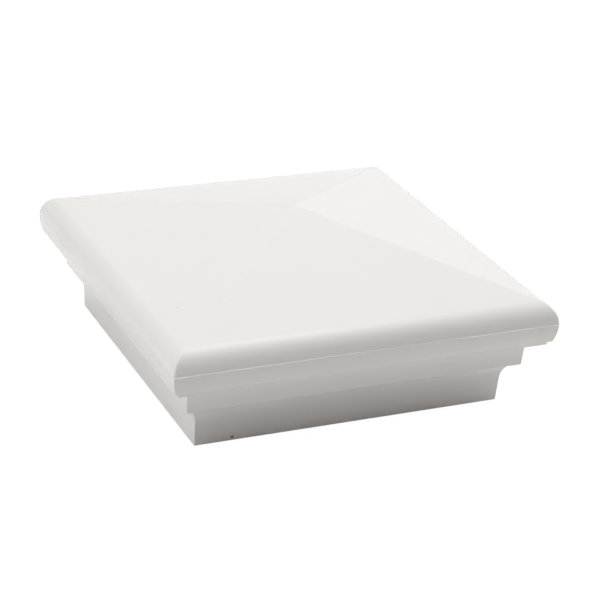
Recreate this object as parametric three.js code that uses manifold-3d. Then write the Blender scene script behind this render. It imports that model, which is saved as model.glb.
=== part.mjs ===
// Square pyramid cap for a 5 inch (127 mm) vinyl fence post. Millimetres, +Z up.
// The origin is the middle of the skirt's bottom rim, so the cap stands on z = 0.
// The cap is two thin vinyl mouldings, bonded at the widest line of the bullnose: a crown with the
// roof, and a skirt that slips over the post. Four foam pads inside the skirt grip the post.
import * as THREE from 'three';
import { mergeVertices } from 'three/addons/utils/BufferGeometryUtils.js';
import Module from 'manifold-3d';

const wasm = await Module();
wasm.setup();

// Outer profile. A "half" is the distance from the middle of the cap to a side face.
const RIM_HALF = 82.5;
const SEAM_Z = 39.4;
const ROOF_SLOPE = THREE.MathUtils.degToRad(14.35);
const BULLNOSE_RADIUS = 8.9;
const BULLNOSE_FOOT_HALF = 81.2;
const BULLNOSE_FOOT_Z = 31.4;
const STEP_HALF = 79.6;
const STEP_Z = 29.5;
const FILLET_TOP_HALF = 73.5;
const FILLET_FOOT_HALF = 72.9;
const COVE_TOP_Z = 18.3;
const COVE_FOOT_Z = 9.4;
const SKIRT_TOP_HALF = 66.9;
const SKIRT_FOOT_HALF = 66.5;

// Wall thicknesses of the two mouldings.
const CROWN_WALL = 2.5;
const SKIRT_WALL = 2.2;

// Bonded joint: a tongue on the crown stands inside the skirt, and a bead fills the line outside.
const BEAD_HEIGHT = 0.6;
const BEAD_PROUD = 0.35;
const BEAD_DEPTH = 1.9;
const JOINT_GAP = 0.3;
const BOND_GAP = 0.02;
const TONGUE_WALL = 1.8;
const TONGUE_DROP = 2.6;

// Stop fins under the roof: the post's cut end rests on them, and their tails guide it in.
const POST_HALF = 63.5;
const STOP_Z = 33;
const FIN_THICKNESS = 2;
const FIN_SPREAD = 32;
const FIN_REACH = 57;
const FIN_TAIL_Z = 24;
const GUIDE_CLEARANCE = 0.9;

// Foam grip pads, one on each inner face of the skirt.
const PAD_LENGTH = 60;
const PAD_THICKNESS = 0.7;
const PAD_FOOT_Z = 1.4;
const PAD_TOP_Z = 8.4;

const ARC_STEPS = 10;
const SIDES = ['front', 'right', 'back', 'left'];

const CROWN_RIM_Z = SEAM_Z + BEAD_HEIGHT / 2;
const SKIRT_RIM_Z = SEAM_Z - BEAD_HEIGHT / 2;
const ROOF_FOOT_HALF = RIM_HALF - BULLNOSE_RADIUS + BULLNOSE_RADIUS * Math.sin(ROOF_SLOPE);
const ROOF_FOOT_Z = SEAM_Z + BULLNOSE_RADIUS * Math.cos(ROOF_SLOPE);
const APEX_Z = ROOF_FOOT_Z + ROOF_FOOT_HALF * Math.tan(ROOF_SLOPE);
const TONGUE_OUTER_HALF = RIM_HALF - SKIRT_WALL - JOINT_GAP;
const TONGUE_INNER_HALF = TONGUE_OUTER_HALF - TONGUE_WALL;

const vinyl = { color: 0xf4f3ef, roughness: 0.32, metalness: 0 };
const cement = { color: 0xf8f7f3, roughness: 0.25, metalness: 0 };
const foam = { color: 0xc9c9c6, roughness: 0.95, metalness: 0 };

// Underside of the roof at a given distance from the middle.
function roofInnerZ(half) {
  return APEX_Z - half * Math.tan(ROOF_SLOPE) - CROWN_WALL / Math.cos(ROOF_SLOPE);
}

// Points of an elliptical arc in the (half, z) plane, from one angle to another.
function arc(centreHalf, centreZ, radiusHalf, radiusZ, fromAngle, toAngle) {
  return Array.from({ length: ARC_STEPS + 1 }, (_, step) => {
    const angle = THREE.MathUtils.lerp(fromAngle, toAngle, step / ARC_STEPS);
    return [centreHalf + radiusHalf * Math.cos(angle), centreZ + radiusZ * Math.sin(angle)];
  });
}

// Sweeps a (half, z) profile around the square with mitred corners. The lathe's four corners lie
// on the diagonals, so its radius is the half-width times the square root of two.
function squareSweep(profile) {
  const points = profile.map(([half, z]) => new THREE.Vector2(half * Math.SQRT2, z));
  const geometry = new THREE.LatheGeometry(points, 4, Math.PI / 4);
  return geometry.rotateX(Math.PI / 2);
}

function toSolid(geometry) {
  const bare = geometry.index ? geometry.clone() : geometry;
  bare.deleteAttribute('normal');
  bare.deleteAttribute('uv');
  const merged = mergeVertices(bare, 1e-4);
  const mesh = new wasm.Mesh({
    numProp: 3,
    vertProperties: new Float32Array(merged.attributes.position.array),
    triVerts: new Uint32Array(merged.index.array),
  });
  return new wasm.Manifold(mesh);
}

function toGeometry(solid) {
  const mesh = solid.getMesh();
  const geometry = new THREE.BufferGeometry();
  geometry.setAttribute('position', new THREE.BufferAttribute(mesh.vertProperties, 3));
  geometry.setIndex(new THREE.BufferAttribute(mesh.triVerts, 1));
  geometry.computeVertexNormals();
  return geometry;
}

function namedMesh(name, geometry, look) {
  const mesh = new THREE.Mesh(geometry, new THREE.MeshStandardMaterial(look));
  mesh.name = name;
  return mesh;
}

// Roof, upper half of the bullnose, and the tongue, as one closed profile from the axis.
function crownProfile() {
  const noseHalf = RIM_HALF - BULLNOSE_RADIUS;
  const innerRadius = BULLNOSE_RADIUS - CROWN_WALL;
  const noseTop = Math.PI / 2 - ROOF_SLOPE;
  const rimAngle = Math.asin((CROWN_RIM_Z - SEAM_Z) / BULLNOSE_RADIUS);
  const tongueAngle = Math.acos((TONGUE_INNER_HALF - noseHalf) / innerRadius);
  return [
    [0, roofInnerZ(0)],
    ...arc(noseHalf, SEAM_Z, innerRadius, innerRadius, noseTop, tongueAngle),
    [TONGUE_INNER_HALF, CROWN_RIM_Z - TONGUE_DROP],
    [TONGUE_OUTER_HALF, CROWN_RIM_Z - TONGUE_DROP],
    [TONGUE_OUTER_HALF, CROWN_RIM_Z],
    ...arc(noseHalf, SEAM_Z, BULLNOSE_RADIUS, BULLNOSE_RADIUS, rimAngle, noseTop),
    [0, APEX_Z],
  ];
}

// One upright fin: a guiding tail beside the post, a level stop over it, and a root in the roof.
function stopFin(side, offset) {
  const rootDepth = CROWN_WALL / 2;
  const tongueRoot = TONGUE_INNER_HALF + TONGUE_WALL / 2;
  const tailInner = POST_HALF + GUIDE_CLEARANCE;
  const tailOuter = FILLET_FOOT_HALF - SKIRT_WALL - JOINT_GAP;
  const outline = new THREE.Shape([
    new THREE.Vector2(FIN_REACH, STOP_Z),
    new THREE.Vector2(tailInner, STOP_Z),
    new THREE.Vector2(tailInner, FIN_TAIL_Z),
    new THREE.Vector2(tailOuter, FIN_TAIL_Z),
    new THREE.Vector2(tailOuter, STOP_Z),
    new THREE.Vector2(TONGUE_INNER_HALF, CROWN_RIM_Z - TONGUE_DROP),
    new THREE.Vector2(tongueRoot, CROWN_RIM_Z - TONGUE_DROP / 2),
    new THREE.Vector2(tongueRoot, CROWN_RIM_Z),
    new THREE.Vector2(ROOF_FOOT_HALF, roofInnerZ(ROOF_FOOT_HALF) + rootDepth),
    new THREE.Vector2(FIN_REACH, roofInnerZ(FIN_REACH) + rootDepth),
  ]);
  const geometry = new THREE.ExtrudeGeometry(outline, { depth: FIN_THICKNESS, bevelEnabled: false });
  geometry.translate(0, 0, -FIN_THICKNESS / 2 - offset);
  geometry.rotateX(Math.PI / 2);
  return geometry.rotateZ(sideAngle(side));
}

// The front face looks along -Y, and the sides follow counter-clockwise seen from above.
function sideAngle(side) {
  return (SIDES.indexOf(side) - 1) * (Math.PI / 2);
}

function crownShell() {
  let solid = toSolid(squareSweep(crownProfile()));
  for (const side of SIDES) {
    for (const offset of [-FIN_SPREAD, FIN_SPREAD]) {
      solid = solid.add(toSolid(stopFin(side, offset)));
    }
  }
  return namedMesh('crown_shell', toGeometry(solid), vinyl);
}

// Lower half of the bullnose, step, fillet, cove and skirt, as one closed ring profile.
function skirtProfile() {
  const noseRun = RIM_HALF - BULLNOSE_FOOT_HALF;
  const noseRise = SEAM_Z - BULLNOSE_FOOT_Z;
  const noseRadius = (noseRun ** 2 + noseRise ** 2) / (2 * noseRun);
  const noseCentre = RIM_HALF - noseRadius;
  const noseInner = noseRadius - SKIRT_WALL;
  const rimAngle = Math.asin((SKIRT_RIM_Z - SEAM_Z) / noseRadius);
  const footAngle = Math.asin(-noseRise / noseRadius);
  const coveHalf = FILLET_FOOT_HALF;
  const coveRun = FILLET_FOOT_HALF - SKIRT_TOP_HALF;
  const coveRise = COVE_TOP_Z - COVE_FOOT_Z;
  const innerRimAngle = Math.asin((SKIRT_RIM_Z - SEAM_Z) / noseInner);
  const innerFootAngle = Math.asin((STEP_Z + SKIRT_WALL - SEAM_Z) / noseInner);
  const coveInnerAngle = Math.acos(-SKIRT_WALL / (coveRun + SKIRT_WALL));
  return [
    [SKIRT_FOOT_HALF, 0],
    ...arc(coveHalf, COVE_FOOT_Z, coveRun, coveRise, Math.PI, Math.PI / 2),
    [FILLET_TOP_HALF, STEP_Z],
    [STEP_HALF, STEP_Z],
    [STEP_HALF, BULLNOSE_FOOT_Z],
    ...arc(noseCentre, SEAM_Z, noseRadius, noseRadius, footAngle, rimAngle),
    ...arc(noseCentre, SEAM_Z, noseInner, noseInner, innerRimAngle, innerFootAngle),
    [FILLET_TOP_HALF - SKIRT_WALL, STEP_Z + SKIRT_WALL],
    ...arc(coveHalf, COVE_FOOT_Z, coveRun + SKIRT_WALL, coveRise + SKIRT_WALL, coveInnerAngle, Math.PI),
    [SKIRT_FOOT_HALF - SKIRT_WALL, 0],
    [SKIRT_FOOT_HALF, 0],
  ];
}

function skirtShell() {
  return namedMesh('skirt_shell', squareSweep(skirtProfile()), vinyl);
}

// The thin line of cement squeezed out between the two rims, standing slightly proud of them.
function weldBead() {
  const low = SKIRT_RIM_Z + BOND_GAP;
  const high = CROWN_RIM_Z - BOND_GAP;
  const outer = RIM_HALF + BEAD_PROUD;
  const inner = RIM_HALF - BEAD_DEPTH;
  const profile = [[inner, low], [outer, low], [outer, high], [inner, high], [inner, low]];
  return namedMesh('weld_bead', squareSweep(profile), cement);
}

// Inner face of the skirt at a given height; it leans with the moulding's draft.
function skirtInnerHalf(z) {
  return THREE.MathUtils.lerp(SKIRT_FOOT_HALF, SKIRT_TOP_HALF, z / COVE_FOOT_Z) - SKIRT_WALL;
}

function gripPad(side) {
  const foot = skirtInnerHalf(PAD_FOOT_Z) - BOND_GAP;
  const top = skirtInnerHalf(PAD_TOP_Z) - BOND_GAP;
  const outline = new THREE.Shape([
    new THREE.Vector2(foot - PAD_THICKNESS, PAD_FOOT_Z),
    new THREE.Vector2(foot, PAD_FOOT_Z),
    new THREE.Vector2(top, PAD_TOP_Z),
    new THREE.Vector2(top - PAD_THICKNESS, PAD_TOP_Z),
  ]);
  const geometry = new THREE.ExtrudeGeometry(outline, { depth: PAD_LENGTH, bevelEnabled: false });
  geometry.translate(0, 0, -PAD_LENGTH / 2);
  geometry.rotateX(Math.PI / 2);
  geometry.rotateZ(sideAngle(side));
  return namedMesh(`grip_pad_${side}`, geometry, foam);
}

const cap = new THREE.Group();
cap.add(crownShell(), skirtShell(), weldBead());
for (const side of SIDES) {
  cap.add(gripPad(side));
}

export default cap;
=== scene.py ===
"""A white vinyl fence post cap on a pale studio floor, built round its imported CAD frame."""

import math

import bmesh
import bpy
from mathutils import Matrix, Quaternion, Vector, noise


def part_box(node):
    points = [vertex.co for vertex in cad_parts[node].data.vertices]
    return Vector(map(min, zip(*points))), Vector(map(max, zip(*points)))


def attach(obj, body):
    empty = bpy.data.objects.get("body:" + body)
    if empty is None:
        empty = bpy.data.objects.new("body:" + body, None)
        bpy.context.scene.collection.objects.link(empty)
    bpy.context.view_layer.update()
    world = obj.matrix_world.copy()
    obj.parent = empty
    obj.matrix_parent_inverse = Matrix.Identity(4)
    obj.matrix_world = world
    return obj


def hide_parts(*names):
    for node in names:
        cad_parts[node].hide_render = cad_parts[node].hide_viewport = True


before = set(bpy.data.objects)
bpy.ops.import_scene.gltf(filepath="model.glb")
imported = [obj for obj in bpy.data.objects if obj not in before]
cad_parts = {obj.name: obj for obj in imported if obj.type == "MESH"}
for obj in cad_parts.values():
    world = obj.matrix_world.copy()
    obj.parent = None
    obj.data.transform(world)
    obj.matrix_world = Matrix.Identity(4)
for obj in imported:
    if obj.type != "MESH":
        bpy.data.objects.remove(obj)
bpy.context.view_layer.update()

MM = 0.001

# Outer profile in millimetres. A "half" is the distance from the middle of the cap to a side.
CROWN_LOW, CROWN_HIGH = (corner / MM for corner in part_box("crown_shell"))
RIM_HALF = CROWN_HIGH.x
APEX_Z = CROWN_HIGH.z
ROOF_SLOPE = math.radians(14.35)
BULLNOSE_RADIUS = 8.9
BULLNOSE_FOOT_HALF = 81.2
BULLNOSE_FOOT_Z = 31.4
STEP_HALF = 79.6
STEP_Z = 29.5
FILLET_TOP_HALF = 73.5
FILLET_FOOT_HALF = 72.9
COVE_TOP_Z = 18.3
COVE_FOOT_Z = 9.4
SKIRT_TOP_HALF = 66.9
SKIRT_FOOT_HALF = 66.5
CROWN_WALL = 2.5
SKIRT_WALL = 2.2

# The bonded joint between the two mouldings, and the bead that fills its line.
BEAD_LOW, BEAD_HIGH = (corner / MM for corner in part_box("weld_bead"))
SKIRT_RIM_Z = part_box("skirt_shell")[1].z / MM
CROWN_RIM_Z = BEAD_HIGH.z + (BEAD_LOW.z - SKIRT_RIM_Z)
SEAM_Z = (SKIRT_RIM_Z + CROWN_RIM_Z) / 2
BEAD_DEPTH = 1.9
JOINT_GAP = 0.3
TONGUE_WALL = 1.8
TONGUE_DROP = 2.6
TONGUE_OUTER_HALF = RIM_HALF - SKIRT_WALL - JOINT_GAP
TONGUE_INNER_HALF = TONGUE_OUTER_HALF - TONGUE_WALL

# Stop fins under the roof.
POST_HALF = 63.5
STOP_Z = 33.0
FIN_THICKNESS = 2.0
FIN_SPREAD = 32.0
FIN_REACH = 57.0
FIN_TAIL_Z = CROWN_LOW.z
GUIDE_CLEARANCE = 0.9

# The softening that every moulded edge has.
HIP_RADIUS = 1.0
CROWN_PLAN_RADIUS = 0.7
SKIRT_PLAN_RADIUS = 0.4
INNER_PLAN_RADIUS = 1.5
EDGE_RADIUS = 0.3
FIN_EDGE_RADIUS = 0.25
PAD_EDGE_RADIUS = 0.2
BEAD_SLOPE_DROP = 0.2
TIP_HALF = 1.5
ROUNDEST = 0.7  # the largest corner radius, as a share of a square's half-width

ARC_STEPS = 24
CORNER_STEPS = 6
SIDE_STEPS = 16
BEAD_STEPS = 96
ROOF_ROWS = 14

# How full the bead is along a side, as shares of its full size.
BEAD_MIDDLE = 0.64
BEAD_CORNER_GAIN = 0.3
BEAD_UNEVENNESS = 0.12
BEAD_WAVES_PER_METRE = 60
BEAD_LEFT_SHARE = 0.3

# The studio, in metres.
FLOOR_SIZE, FLOOR_Z = 12, -0.0002
BOUNCE_SIZE, BOUNCE_Z = 6, -0.001
BACKDROP_RADIUS = 5

# Specks of grit in the surface: place and radius in millimetres, and colour.
SPECKS = (
    ((-67.7, -46.0, 50.0), 0.29, (0.25, 0.24, 0.22)),
    ((-50.7, -66.5, 1.55), 0.7, (0.25, 0.15, 0.115)),
)

OUTSIDE, INSIDE = 0, 1
SIDES = ("front", "right", "back", "left")


# ---------------------------------------------------------------- profiles

def arc(centre, radii, start, end, steps=ARC_STEPS):
    """Profile points along an elliptical arc in the (half, z) plane."""
    angles = [start + (end - start) * step / steps for step in range(steps + 1)]
    return [
        (centre[0] + radii[0] * math.cos(angle), centre[1] + radii[1] * math.sin(angle), 0.0)
        for angle in angles
    ]


def softened(profile, steps=4):
    """Rounds the corners of a profile. Each point is (half, z, radius), and radius 0 stays sharp."""
    points = []
    for index, (half, z, radius) in enumerate(profile):
        corner = Vector((half, z))
        if radius == 0:
            points.append(corner)
            continue
        before = Vector(profile[index - 1][:2]) - corner
        after = Vector(profile[(index + 1) % len(profile)][:2]) - corner
        reach = radius / math.tan(before.angle(after) / 2)
        reach = min(reach, 0.45 * before.length, 0.45 * after.length)
        start = corner + before.normalized() * reach
        end = corner + after.normalized() * reach
        for step in range(steps + 1):
            t = step / steps
            points.append(start * (1 - t) ** 2 + corner * 2 * t * (1 - t) + end * t ** 2)
    return points


def roof_z(half, apex_z=APEX_Z):
    """Height of the roof's plane, blunted at the very tip."""
    blunt = max(TIP_HALF - half, 0) ** 2 / (2 * TIP_HALF)
    return apex_z - (half + blunt) * math.tan(ROOF_SLOPE)


def roof_inner_z(half):
    """Height of the roof's inside, one wall thickness below the outside."""
    return roof_z(half, APEX_Z - CROWN_WALL / math.cos(ROOF_SLOPE))


def crown_profiles():
    """The crown's inside and outside, each from one end of the rim's level face to the axis."""
    nose_half = RIM_HALF - BULLNOSE_RADIUS
    inner_radius = BULLNOSE_RADIUS - CROWN_WALL
    nose_top = math.pi / 2 - ROOF_SLOPE
    rim_angle = math.asin((CROWN_RIM_Z - SEAM_Z) / BULLNOSE_RADIUS)
    tongue_angle = math.acos((TONGUE_INNER_HALF - nose_half) / inner_radius)
    tongue_foot_z = CROWN_RIM_Z - TONGUE_DROP
    outer_nose = arc((nose_half, SEAM_Z), (BULLNOSE_RADIUS,) * 2, rim_angle, nose_top)
    inner_nose = arc((nose_half, SEAM_Z), (inner_radius,) * 2, tongue_angle, nose_top)
    outer_foot, inner_foot = outer_nose[-1][0], inner_nose[-1][0]
    rows = [1 - row / ROOF_ROWS for row in range(1, ROOF_ROWS)]
    tip_rows = [TIP_HALF, TIP_HALF * 0.66, TIP_HALF * 0.33]
    outer_roof = [outer_foot * row for row in rows] + tip_rows
    inner_roof = [inner_foot * row for row in rows] + tip_rows
    outside = outer_nose + [(half, roof_z(half), 0.0) for half in outer_roof]
    inside = [
        (TONGUE_OUTER_HALF, CROWN_RIM_Z, EDGE_RADIUS),
        (TONGUE_OUTER_HALF, tongue_foot_z, EDGE_RADIUS),
        (TONGUE_INNER_HALF, tongue_foot_z, EDGE_RADIUS),
    ] + inner_nose + [(half, roof_inner_z(half), 0.0) for half in inner_roof]
    return outside, inside


def skirt_profiles():
    """The skirt moulding's outside from foot to rim, and its inside from rim to foot."""
    nose_run = RIM_HALF - BULLNOSE_FOOT_HALF
    nose_rise = SEAM_Z - BULLNOSE_FOOT_Z
    nose_radius = (nose_run ** 2 + nose_rise ** 2) / (2 * nose_run)
    nose_centre = (RIM_HALF - nose_radius, SEAM_Z)
    nose_inner = nose_radius - SKIRT_WALL
    rim_drop = SKIRT_RIM_Z - SEAM_Z
    cove_centre = (FILLET_FOOT_HALF, COVE_FOOT_Z)
    cove_radii = (FILLET_FOOT_HALF - SKIRT_TOP_HALF, COVE_TOP_Z - COVE_FOOT_Z)
    cove_inner_radii = tuple(radius + SKIRT_WALL for radius in cove_radii)
    cove_inner_angle = math.acos(-SKIRT_WALL / cove_inner_radii[0])
    foot_angle = math.asin(-nose_rise / nose_radius)
    ledge_angle = math.asin((STEP_Z + SKIRT_WALL - SEAM_Z) / nose_inner)
    cove = arc(cove_centre, cove_radii, math.pi, math.pi / 2)
    nose = arc(nose_centre, (nose_radius,) * 2, foot_angle, math.asin(rim_drop / nose_radius), 8)
    inner_nose = arc(nose_centre, (nose_inner,) * 2, math.asin(rim_drop / nose_inner), ledge_angle, 8)
    outside = [
        (SKIRT_FOOT_HALF, 0.0, EDGE_RADIUS),
        *cove[:-1],
        (*cove[-1][:2], EDGE_RADIUS),
        (FILLET_TOP_HALF, STEP_Z, EDGE_RADIUS),
        (STEP_HALF, STEP_Z, EDGE_RADIUS),
        (STEP_HALF, BULLNOSE_FOOT_Z, EDGE_RADIUS / 2),
        (*nose[0][:2], EDGE_RADIUS),
        *nose[1:],
    ]
    inside = [
        *inner_nose,
        (FILLET_TOP_HALF - SKIRT_WALL, STEP_Z + SKIRT_WALL, 2 * EDGE_RADIUS),
        *arc(cove_centre, cove_inner_radii, cove_inner_angle, math.pi),
        (SKIRT_FOOT_HALF - SKIRT_WALL, 0.0, EDGE_RADIUS),
    ]
    return outside, inside


# ---------------------------------------------------------------- meshes

def ring(half, z, radius, side_steps=SIDE_STEPS):
    """One level of a moulding: a square with rounded corners, as points in metres."""
    radius = min(radius, ROUNDEST * half)
    straight = half - radius
    corner = [
        Vector((straight + radius * math.cos(angle), straight + radius * math.sin(angle), z))
        for angle in (step / CORNER_STEPS * math.pi / 2 for step in range(CORNER_STEPS + 1))
    ]
    side = [
        Vector((straight * (1 - 2 * step / side_steps), half, z)) for step in range(1, side_steps)
    ]
    points = []
    for quarter in range(4):
        turn = Quaternion((0, 0, 1), quarter * math.pi / 2)
        points += [turn @ point * MM for point in corner + side]
    return points


def bridge(bm, lower, upper, material):
    """Joins two levels of vertices with a band of quads."""
    count = len(lower)
    for index in range(count):
        after = (index + 1) % count
        face = bm.faces.new((lower[index], lower[after], upper[after], upper[index]))
        face.material_index = material


def swept_levels(bm, profile, radius_of):
    """Adds the levels of a profile to a mesh, and returns their rings of vertices."""
    return [
        [bm.verts.new(point) for point in ring(half, z, radius_of(half))] for half, z in profile
    ]


def close_tip(bm, level, z, material):
    """Closes a roof's last level with a fan to a vertex on the axis."""
    tip = bm.verts.new((0, 0, z * MM))
    for index, vertex in enumerate(level):
        face = bm.faces.new((vertex, level[(index + 1) % len(level)], tip))
        face.material_index = material


def finished_object(bm, name, materials, sharp_angle=40):
    """Turns a bmesh into a smooth-shaded object whose flat faces stay flat."""
    bmesh.ops.recalc_face_normals(bm, faces=bm.faces)
    mesh = bpy.data.meshes.new(name)
    bm.to_mesh(mesh)
    bm.free()
    mesh.shade_smooth()
    mesh.set_sharp_from_angle(angle=math.radians(sharp_angle))
    for material in materials:
        mesh.materials.append(material)
    made = bpy.data.objects.new(name, mesh)
    bpy.context.scene.collection.objects.link(made)
    return made


def weight_normals(piece):
    """Shades large flat faces flat, and leaves the rounding to the small faces beside them."""
    modifier = piece.modifiers.new("flat_faces_stay_flat", "WEIGHTED_NORMAL")
    modifier.keep_sharp = True
    modifier.weight = 100


def apply_modifiers(piece):
    """Replaces an object's mesh with the result of its modifiers."""
    graph = bpy.context.evaluated_depsgraph_get()
    mesh = bpy.data.meshes.new_from_object(piece.evaluated_get(graph), depsgraph=graph)
    piece.modifiers.clear()
    piece.data = mesh


def crown_plan_radius(half):
    """Corner radius of the crown in plan: the hips of the roof are softer than the bullnose."""
    nose_half = RIM_HALF - BULLNOSE_RADIUS
    return HIP_RADIUS if half < nose_half else CROWN_PLAN_RADIUS


def inner_plan_radius(half):
    """Corner radius of the crown's inside in plan, the same at every level."""
    return INNER_PLAN_RADIUS


def skirt_plan_radius(half):
    """Corner radius of the skirt in plan, the same at every level."""
    return SKIRT_PLAN_RADIUS


def crown_body(materials):
    """The crown moulding without its fins."""
    bm = bmesh.new()
    outside, inside = crown_profiles()
    outer = swept_levels(bm, softened(outside), crown_plan_radius)
    inner = swept_levels(bm, softened(inside), inner_plan_radius)
    for levels, surface in ((outer, OUTSIDE), (inner, INSIDE)):
        for lower, upper in zip(levels, levels[1:]):
            bridge(bm, lower, upper, surface)
    bridge(bm, inner[0], outer[0], INSIDE)
    close_tip(bm, outer[-1], roof_z(0), OUTSIDE)
    close_tip(bm, inner[-1], roof_inner_z(0), INSIDE)
    return finished_object(bm, "crown", materials)


def fin_outline():
    """One fin seen from its flat side, as (half, z) points in millimetres."""
    root_depth = CROWN_WALL / 2
    tongue_root = TONGUE_INNER_HALF + TONGUE_WALL / 2
    tongue_foot_z = CROWN_RIM_Z - TONGUE_DROP
    tail_inner = POST_HALF + GUIDE_CLEARANCE
    tail_outer = FILLET_FOOT_HALF - SKIRT_WALL - JOINT_GAP
    roof_root = RIM_HALF - BULLNOSE_RADIUS
    return [
        (FIN_REACH, STOP_Z),
        (tail_inner, STOP_Z),
        (tail_inner, FIN_TAIL_Z),
        (tail_outer, FIN_TAIL_Z),
        (tail_outer, STOP_Z),
        (TONGUE_INNER_HALF, tongue_foot_z),
        (tongue_root, tongue_foot_z + TONGUE_DROP / 2),
        (tongue_root, CROWN_RIM_Z),
        (roof_root, roof_inner_z(roof_root) + root_depth),
        (FIN_REACH, roof_inner_z(FIN_REACH) + root_depth),
    ]


def fin(side, offset, materials):
    """One stop fin as a closed solid with softened edges."""
    bm = bmesh.new()
    flat = [bm.verts.new((half, offset - FIN_THICKNESS / 2, z)) for half, z in fin_outline()]
    face = bm.faces.new(flat)
    grown = bmesh.ops.extrude_face_region(bm, geom=[face])
    moved = [item for item in grown["geom"] if isinstance(item, bmesh.types.BMVert)]
    bmesh.ops.translate(bm, verts=moved, vec=(0, FIN_THICKNESS, 0))
    bmesh.ops.bevel(
        bm, geom=bm.edges, offset=FIN_EDGE_RADIUS, segments=2, profile=0.5,
        affect="EDGES", clamp_overlap=True,
    )
    for item in bm.faces:
        item.material_index = INSIDE
    turn = Quaternion((0, 0, 1), (SIDES.index(side) - 1) * math.pi / 2)
    for vertex in bm.verts:
        vertex.co = turn @ vertex.co * MM
    return finished_object(bm, f"fin_{side}_{offset:.0f}", materials)


def unite(piece, others):
    """Joins other solids into a piece as one closed body."""
    for other in others:
        modifier = piece.modifiers.new("join", "BOOLEAN")
        modifier.operation = "UNION"
        modifier.solver = "EXACT"
        modifier.object = other
        apply_modifiers(piece)
        bpy.data.objects.remove(other)


def make_crown(materials):
    """The crown moulding: the roof, the upper bullnose and eight stop fins, as one body."""
    crown = crown_body(materials)
    fins = [fin(side, offset, materials) for side in SIDES for offset in (-FIN_SPREAD, FIN_SPREAD)]
    unite(crown, fins)
    weight_normals(crown)
    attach(crown, "root")
    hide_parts("crown_shell")


def make_skirt(materials):
    """The skirt moulding: the lower bullnose, step, fillet, cove and skirt, as one body."""
    bm = bmesh.new()
    outside, inside = skirt_profiles()
    profile = softened(outside + inside)
    levels = swept_levels(bm, profile, skirt_plan_radius)
    outer_count = len(softened(outside))
    for index, level in enumerate(levels):
        surface = OUTSIDE if index < outer_count - 1 else INSIDE
        bridge(bm, level, levels[(index + 1) % len(levels)], surface)
    skirt = finished_object(bm, "skirt", materials)
    weight_normals(skirt)
    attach(skirt, "root")
    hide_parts("skirt_shell")


def bead_fullness(point):
    """How full the bead is at a point: fullest at the corners, uneven, and thin on the left."""
    along = min(abs(point.x), abs(point.y)) / (RIM_HALF * MM)
    unevenness = BEAD_UNEVENNESS * noise.noise(point * BEAD_WAVES_PER_METRE)
    fullness = min(BEAD_MIDDLE + BEAD_CORNER_GAIN * along ** 2 + unevenness, 1)
    on_left = point.x < -abs(point.y)
    left_share = BEAD_LEFT_SHARE + (1 - BEAD_LEFT_SHARE) * along ** 3
    return fullness * left_share if on_left else fullness


def make_bead(material):
    """The bead of set cement: a low ridge, sloped on top and rounded underneath."""
    bm = bmesh.new()
    crest_z = BEAD_HIGH.z - BEAD_SLOPE_DROP
    lower = arc((RIM_HALF, crest_z), (BEAD_HIGH.x - RIM_HALF, crest_z - BEAD_LOW.z), -math.pi / 2, 0, 5)
    inner = RIM_HALF - BEAD_DEPTH
    outside = [(half, z) for half, z, *_ in lower]
    profile = [(inner, BEAD_LOW.z), *outside, (RIM_HALF, BEAD_HIGH.z), (inner, BEAD_HIGH.z)]
    levels = []
    for half, z in profile:
        full = ring(half, z, CROWN_PLAN_RADIUS, BEAD_STEPS)
        flush = ring(min(half, RIM_HALF), z, CROWN_PLAN_RADIUS, BEAD_STEPS)
        pairs = zip(flush, full)
        levels.append([bm.verts.new(low.lerp(high, bead_fullness(low))) for low, high in pairs])
    for index, level in enumerate(levels):
        bridge(bm, level, levels[(index + 1) % len(levels)], OUTSIDE)
    bead = finished_object(bm, "bead", [material])
    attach(bead, "root")
    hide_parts("weld_bead")


def make_pad(side, material):
    """One foam grip pad: a thin strip with soft edges that leans with the skirt's inner face."""
    node = f"grip_pad_{side}"
    bm = bmesh.new()
    bm.from_mesh(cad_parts[node].data)
    bmesh.ops.remove_doubles(bm, verts=bm.verts, dist=1e-6)
    bmesh.ops.dissolve_limit(bm, angle_limit=0.01, verts=bm.verts, edges=bm.edges)
    bmesh.ops.bevel(
        bm, geom=bm.edges, offset=PAD_EDGE_RADIUS * MM, segments=3, profile=0.5,
        affect="EDGES", clamp_overlap=True,
    )
    pad = finished_object(bm, f"pad_{side}", [material])
    weight_normals(pad)
    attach(pad, "root")
    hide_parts(node)


# ---------------------------------------------------------------- materials

def new_material(name):
    """A new node material, with its nodes, its links and its surface shader."""
    material = bpy.data.materials.new(name)
    material.use_nodes = True
    nodes = material.node_tree.nodes
    return material, nodes, material.node_tree.links, nodes["Principled BSDF"]


def noise_map(nodes, links, coordinates, scale, detail, low, high):
    """A noise pattern in object space, in metres, mapped to the range low to high."""
    pattern = nodes.new("ShaderNodeTexNoise")
    pattern.inputs["Scale"].default_value = scale
    pattern.inputs["Detail"].default_value = detail
    links.new(coordinates, pattern.inputs["Vector"])
    spread = nodes.new("ShaderNodeMapRange")
    spread.inputs["From Min"].default_value = 0.3
    spread.inputs["From Max"].default_value = 0.7
    spread.inputs["To Min"].default_value = low
    spread.inputs["To Max"].default_value = high
    links.new(pattern.outputs["Fac"], spread.inputs["Value"])
    return spread.outputs["Result"]


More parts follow.
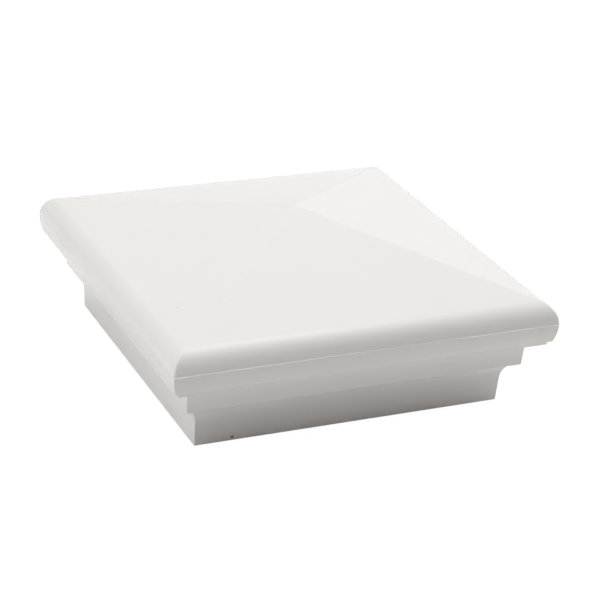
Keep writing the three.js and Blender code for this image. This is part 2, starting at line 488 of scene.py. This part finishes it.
def speck(nodes, links, coordinates, place, radius):
    """A mask that is 1 in a small round spot at a place in millimetres, and 0 elsewhere."""
    apart = nodes.new("ShaderNodeVectorMath")
    apart.operation = "DISTANCE"
    apart.inputs[1].default_value = Vector(place) * MM
    links.new(coordinates, apart.inputs[0])
    spot = nodes.new("ShaderNodeMapRange")
    spot.inputs["From Min"].default_value = 0.6 * radius * MM
    spot.inputs["From Max"].default_value = radius * MM
    spot.inputs["To Min"].default_value = 1
    spot.inputs["To Max"].default_value = 0
    links.new(apart.outputs["Value"], spot.inputs["Value"])
    return spot.outputs["Result"]


def vinyl(name, tone, roughness, grain_scale, grain_depth, specks=()):
    """Moulded white vinyl: a faint mottle, uneven gloss, a fine orange peel and specks of grit."""
    material, nodes, links, surface = new_material(name)
    surface.inputs["IOR"].default_value = 1.5
    coordinates = nodes.new("ShaderNodeTexCoord").outputs["Object"]
    mottle = noise_map(nodes, links, coordinates, 60, 3, 0.997, 1.003)
    colour = nodes.new("ShaderNodeVectorMath")
    colour.operation = "SCALE"
    colour.inputs[0].default_value = tone
    links.new(mottle, colour.inputs["Scale"])
    shade = colour.outputs["Vector"]
    for place, radius, grit in specks:
        mix = nodes.new("ShaderNodeMix")
        mix.data_type = "RGBA"
        mix.inputs["B"].default_value = (*grit, 1)
        links.new(speck(nodes, links, coordinates, place, radius), mix.inputs["Factor"])
        links.new(shade, mix.inputs["A"])
        shade = mix.outputs["Result"]
    links.new(shade, surface.inputs["Base Color"])
    gloss = noise_map(nodes, links, coordinates, 90, 4, roughness * 0.94, roughness * 1.06)
    links.new(gloss, surface.inputs["Roughness"])
    peel = noise_map(nodes, links, coordinates, grain_scale, 2, 0, 1)
    bump = nodes.new("ShaderNodeBump")
    bump.inputs["Strength"].default_value = 1
    bump.inputs["Distance"].default_value = grain_depth * MM
    links.new(peel, bump.inputs["Height"])
    links.new(bump.outputs["Normal"], surface.inputs["Normal"])
    return material


def foam_material():
    """Grey closed-cell foam."""
    material, nodes, links, surface = new_material("grip_foam")
    coordinates = nodes.new("ShaderNodeTexCoord").outputs["Object"]
    cells = nodes.new("ShaderNodeTexVoronoi")
    cells.inputs["Scale"].default_value = 2500
    links.new(coordinates, cells.inputs["Vector"])
    ramp = nodes.new("ShaderNodeValToRGB")
    ramp.color_ramp.elements[0].color = (0.33, 0.33, 0.32, 1)
    ramp.color_ramp.elements[1].color = (0.52, 0.52, 0.51, 1)
    links.new(cells.outputs["Distance"], ramp.inputs["Fac"])
    links.new(ramp.outputs["Color"], surface.inputs["Base Color"])
    surface.inputs["Roughness"].default_value = 0.95
    bump = nodes.new("ShaderNodeBump")
    bump.inputs["Distance"].default_value = 0.05 * MM
    links.new(cells.outputs["Distance"], bump.inputs["Height"])
    links.new(bump.outputs["Normal"], surface.inputs["Normal"])
    return material


# ---------------------------------------------------------------- studio

def plain(name, tone, glow):
    """Plain pale paper, which may glow a little."""
    material, *_, surface = new_material(name)
    surface.inputs["Base Color"].default_value = (*tone, 1)
    surface.inputs["Roughness"].default_value = 1
    surface.inputs["Specular IOR Level"].default_value = 0
    surface.inputs["Emission Color"].default_value = (1, 1, 1, 1)
    surface.inputs["Emission Strength"].default_value = glow
    return material


def camera_only(piece):
    """Keeps a stage piece out of the light that reaches the cap."""
    piece.visible_diffuse = False
    piece.visible_glossy = False
    piece.visible_transmission = False
    piece.visible_shadow = False


def make_floor(name, size, z, material):
    """A square level plane round the middle of the studio."""
    bm = bmesh.new()
    bmesh.ops.create_grid(bm, x_segments=1, y_segments=1, size=size / 2)
    bmesh.ops.translate(bm, verts=bm.verts, vec=(0, 0, z))
    floor = finished_object(bm, name, [material])
    return floor


def make_backdrop(radius, material):
    """A pale dome round the studio, so that the floor has no dark horizon."""
    bm = bmesh.new()
    bmesh.ops.create_uvsphere(bm, u_segments=48, v_segments=24, radius=radius)
    dome = finished_object(bm, "backdrop", [material])
    return dome


def towards(azimuth, elevation):
    """Unit vector from the cap; azimuth 0 is the front, and both are in degrees."""
    turn, rise = math.radians(azimuth), math.radians(elevation)
    return Vector((
        math.sin(turn) * math.cos(rise),
        -math.cos(turn) * math.cos(rise),
        math.sin(rise),
    ))


def area_light(name, size, power, tint):
    """A rectangular lamp that the camera doesn't see."""
    light = bpy.data.lights.new(name, "AREA")
    light.shape = "RECTANGLE"
    light.size, light.size_y = size
    light.energy = power
    light.color = tint
    lamp = bpy.data.objects.new(name, light)
    lamp.visible_camera = False
    bpy.context.scene.collection.objects.link(lamp)
    return lamp


def soft_box(name, azimuth, elevation, distance, side, power, tint=(1, 1, 1)):
    """A square soft box aimed at the cap, so well diffused that the gloss doesn't show it."""
    lamp = area_light(name, (side, side), power, tint)
    direction = towards(azimuth, elevation)
    lamp.location = direction * distance
    lamp.rotation_mode = "QUATERNION"
    lamp.rotation_quaternion = direction.to_track_quat("Z", "Y")
    lamp.visible_glossy = False
    return lamp


def reflected_card(name, azimuth, elevation, distance, side, power):
    """A bright card that shows only in the gloss."""
    card = soft_box(name, azimuth, elevation, distance, side, power)
    card.visible_glossy = True
    card.visible_diffuse = False


def level_panel(name, place, size, power):
    """A small level panel above the cap, which draws the glint along the front bullnose."""
    lamp = area_light(name, size, power, (1, 1, 1))
    lamp.location = place


def make_surround(strength):
    """The pale room around the cap, which shows only in its gloss."""
    world = bpy.data.worlds.new("surround")
    world.use_nodes = True
    background = world.node_tree.nodes["Background"]
    background.inputs["Color"].default_value = (1, 1, 1, 1)
    background.inputs["Strength"].default_value = strength
    bpy.context.scene.world = world
    world.cycles_visibility.diffuse = False


def make_camera():
    """A long lens in front of the cap's left corner, turned a little on its axis."""
    target = Vector((5.1, -2.5, 24.3)) * MM
    distance = 854.1 * MM
    roll = math.radians(4.07)
    back = towards(-25.66, 24.715)
    data = bpy.data.cameras.new("camera")
    data.lens = 121.79
    camera = bpy.data.objects.new("camera", data)
    camera.location = target + back * distance
    camera.rotation_mode = "QUATERNION"
    camera.rotation_quaternion = back.to_track_quat("Z", "Y") @ Quaternion((0, 0, 1), roll)
    bpy.context.scene.collection.objects.link(camera)
    bpy.context.scene.camera = camera


# ---------------------------------------------------------------- assembly

make_camera()
glossy = vinyl("vinyl_outside", (0.88, 0.869, 0.843), 0.14, 700, 0.004, SPECKS)
matte = vinyl("vinyl_inside", (0.87, 0.858, 0.833), 0.55, 1500, 0.01)
# The cement is whiter than the vinyl. Part of that is the cement's own colour, and part is a painted
# highlight that lightens the bead's line where it catches light from above.
cement = vinyl("set_cement_painted_brighter", (0.92, 0.91, 0.89), 0.22, 900, 0.01)
foam = foam_material()

make_crown([glossy, matte])
make_skirt([glossy, matte])
make_bead(cement)
for side in SIDES:
    make_pad(side, foam)

# The camera sees only the glowing floor and backdrop. The light that reaches the cap from below
# comes off the bounce, a second floor just under the first one, which the camera doesn't see.
floor_paper = plain("floor_paper", (0.06, 0.06, 0.06), 0.98)
backdrop_paper = plain("backdrop_paper", (0, 0, 0), 1)
bounce_paper = plain("bounce_paper", (0.91, 0.9, 0.895), 0)
camera_only(make_floor("floor", FLOOR_SIZE, FLOOR_Z, floor_paper))
camera_only(make_backdrop(BACKDROP_RADIUS, backdrop_paper))
bounce = make_floor("bounce", BOUNCE_SIZE, BOUNCE_Z, bounce_paper)
bounce.visible_camera = False

# Azimuth and elevation in degrees, distance and side in metres, power in watts.
soft_box("high_left", 270, 65, 1.6, 1.2, 10.8)
soft_box("high_back", 135, 65, 1.6, 1.2, 8.7)
soft_box("left", 290, 28, 1.8, 1.4, 3.7)
soft_box("right", 90, 40, 1.8, 1.4, 9.4)
soft_box("right_back", 110, 25, 1.9, 1.4, 12.2)
soft_box("low_left", 270, 7, 2.4, 1.0, 12.4)
soft_box("low_front", 0, 12, 2.0, 1.6, 1.2, (1, 0.78, 0.8))
reflected_card("top_card", 0, 90, 1.5, 1.6, 5.8)
reflected_card("back_card", 180, 35, 1.8, 2.0, 0.9)
level_panel("panel", (0.25, 0.11, 0.93), (0.30, 0.52), 0.45)
make_surround(0.753)

bpy.context.scene.view_settings.view_transform = "Standard"
